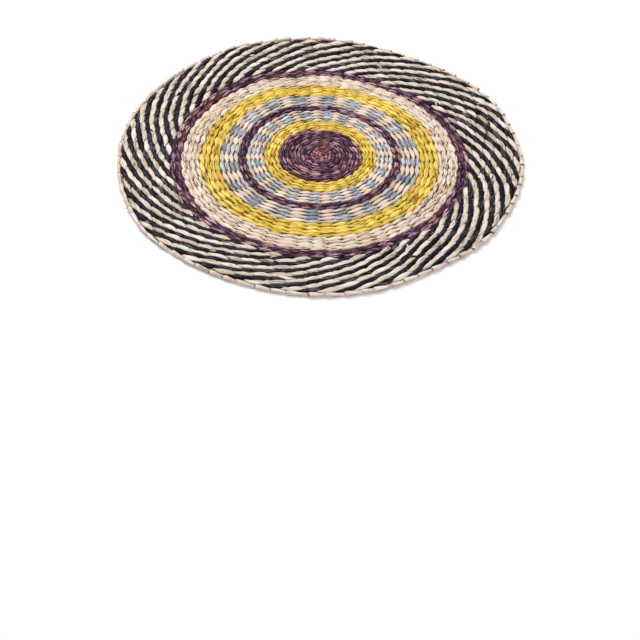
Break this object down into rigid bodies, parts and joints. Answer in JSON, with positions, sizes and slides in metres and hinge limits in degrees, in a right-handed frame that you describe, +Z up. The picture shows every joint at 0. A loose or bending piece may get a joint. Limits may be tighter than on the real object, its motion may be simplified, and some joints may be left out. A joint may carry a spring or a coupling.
{
  "type": "round twined seagrass placemat",
  "caption": "Flat round placemat of twined seagrass with an edge cord round its slightly uneven rim; it lies on a table under a plate.",
  "frame": {"origin": "middle of the underside, on the surface that the mat lies on", "axes": "+Z up out of the mat's face, +Y towards the far side of the table, +X to the right"},
  "size_m": [0.3811, 0.3803, 0.005],
  "materials": {
    "seagrass_weave": "dyed and natural twisted seagrass, dry and slightly waxy",
    "seagrass_edge": "natural undyed seagrass, dry"
  },
  "bodies": {
    "root": {"woven_disc": "seagrass_weave", "edge_cord": "seagrass_edge"}
  },
  "joints": []
}
